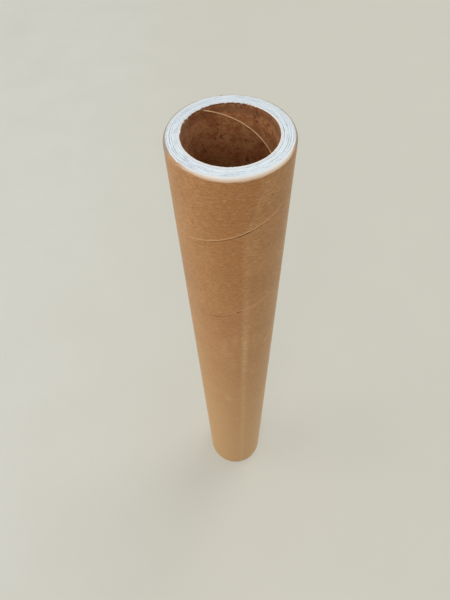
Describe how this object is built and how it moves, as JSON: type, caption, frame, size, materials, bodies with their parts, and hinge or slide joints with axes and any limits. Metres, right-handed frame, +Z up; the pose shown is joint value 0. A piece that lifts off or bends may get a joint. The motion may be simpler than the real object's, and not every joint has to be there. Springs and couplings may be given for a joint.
{
  "type": "paper core tube",
  "caption": "Spiral-wound paper core tube: brown outer strip, pale board wall and brown liner round an open bore, standing on its cut end.",
  "frame": {"origin": "centre of the bottom cut end, on the surface that the tube stands on", "axes": "+Z up along the bore, +X to the right and +Y to the back as seen from the front, where the outer seam passes 29.8 mm below the top end"},
  "size_m": [0.051, 0.051, 0.394],
  "materials": {
    "brown_wrap": "matte",
    "pale_board": "matte",
    "brown_liner": "matte"
  },
  "bodies": {
    "root": {"outer_wrap": "brown_wrap", "board_wall": "pale_board", "inner_liner": "brown_liner"}
  },
  "joints": []
}
